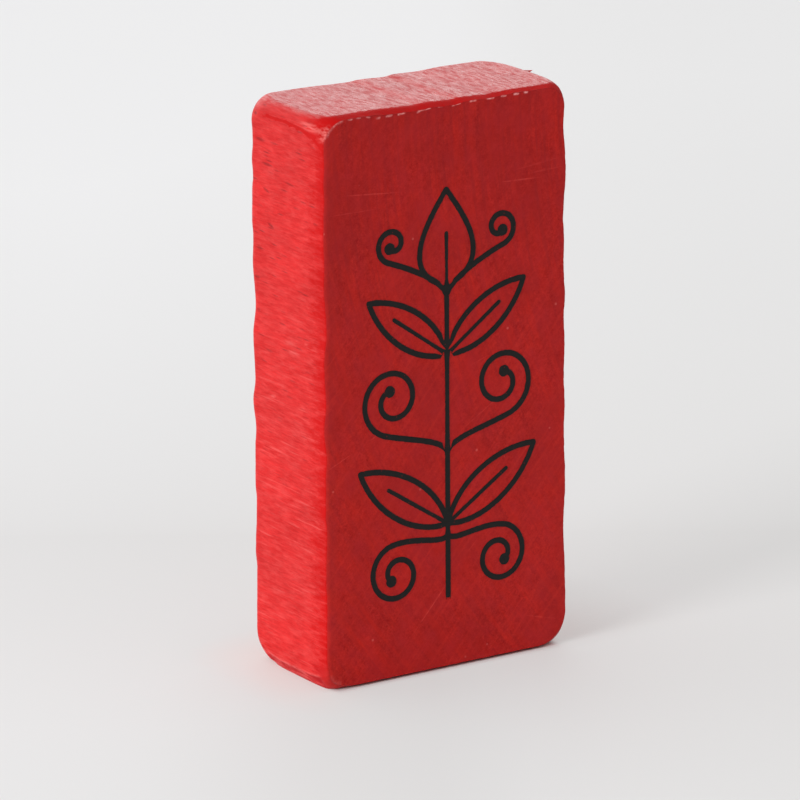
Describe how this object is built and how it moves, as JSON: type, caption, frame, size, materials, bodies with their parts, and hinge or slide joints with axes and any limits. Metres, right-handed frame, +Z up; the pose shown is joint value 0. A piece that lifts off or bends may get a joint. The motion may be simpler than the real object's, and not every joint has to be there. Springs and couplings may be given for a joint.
{
  "type": "game piece block",
  "caption": "Upright rectangular wooden game block, stained red, with worn round edges and a black line ornament printed on its broad front face.",
  "frame": {"origin": "middle of the short end that the block stands on", "axes": "+Z up along the block's height, +X to the right seen from the printed face, +Y from the printed face to the plain back"},
  "size_m": [0.0249, 0.0117, 0.05],
  "materials": {
    "stained_wood": "satin stain",
    "black_ink": "matte"
  },
  "bodies": {
    "root": {"wood_block": "stained_wood", "front_print": "black_ink"}
  },
  "joints": []
}
